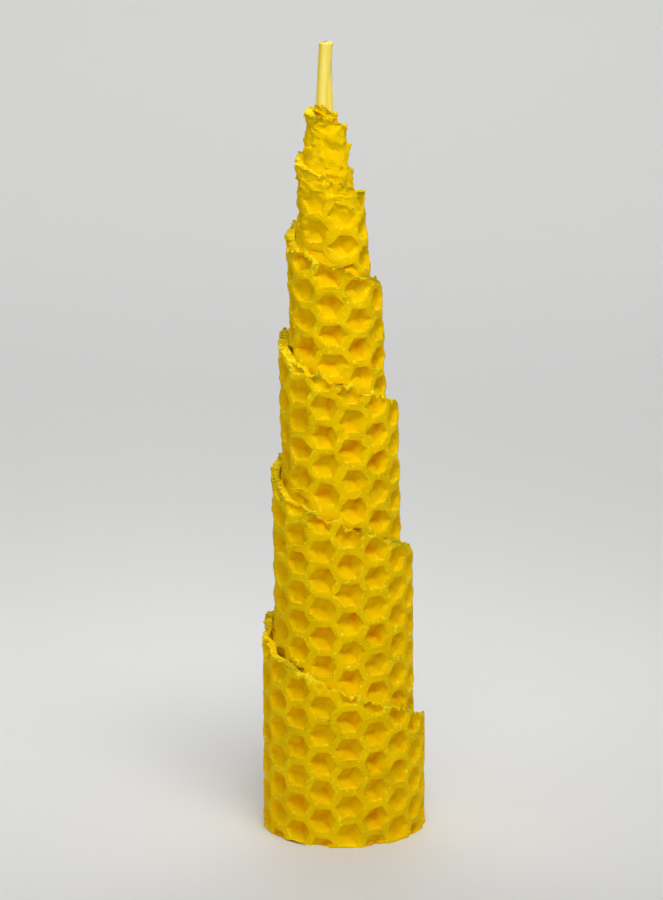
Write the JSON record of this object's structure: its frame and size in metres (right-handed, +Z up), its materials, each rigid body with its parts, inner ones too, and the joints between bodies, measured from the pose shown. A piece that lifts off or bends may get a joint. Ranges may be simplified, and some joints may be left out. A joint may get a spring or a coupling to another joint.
{
  "type": "rolled beeswax candle",
  "caption": "Tapered candle rolled from a slope-cut sheet of honeycomb beeswax around a waxed cotton wick, with a spiral of steps.",
  "frame": {"origin": "centre of the wick's foot, on the flat face that the candle stands on", "axes": "+Z up along the wick; -Y towards the front; +X to the right of the front, where the lowest step of the spiral ends"},
  "size_m": [0.0291, 0.028, 0.1414],
  "materials": {
    "beeswax": "soft satin, slightly translucent golden beeswax",
    "wick_wax": "smooth pale wax, slightly translucent",
    "wick_cotton": "waxed braided cotton"
  },
  "bodies": {
    "root": {"honeycomb_sheet": "beeswax", "wick_wax_coat": "wick_wax", "wick_braid": "wick_cotton"}
  },
  "joints": []
}
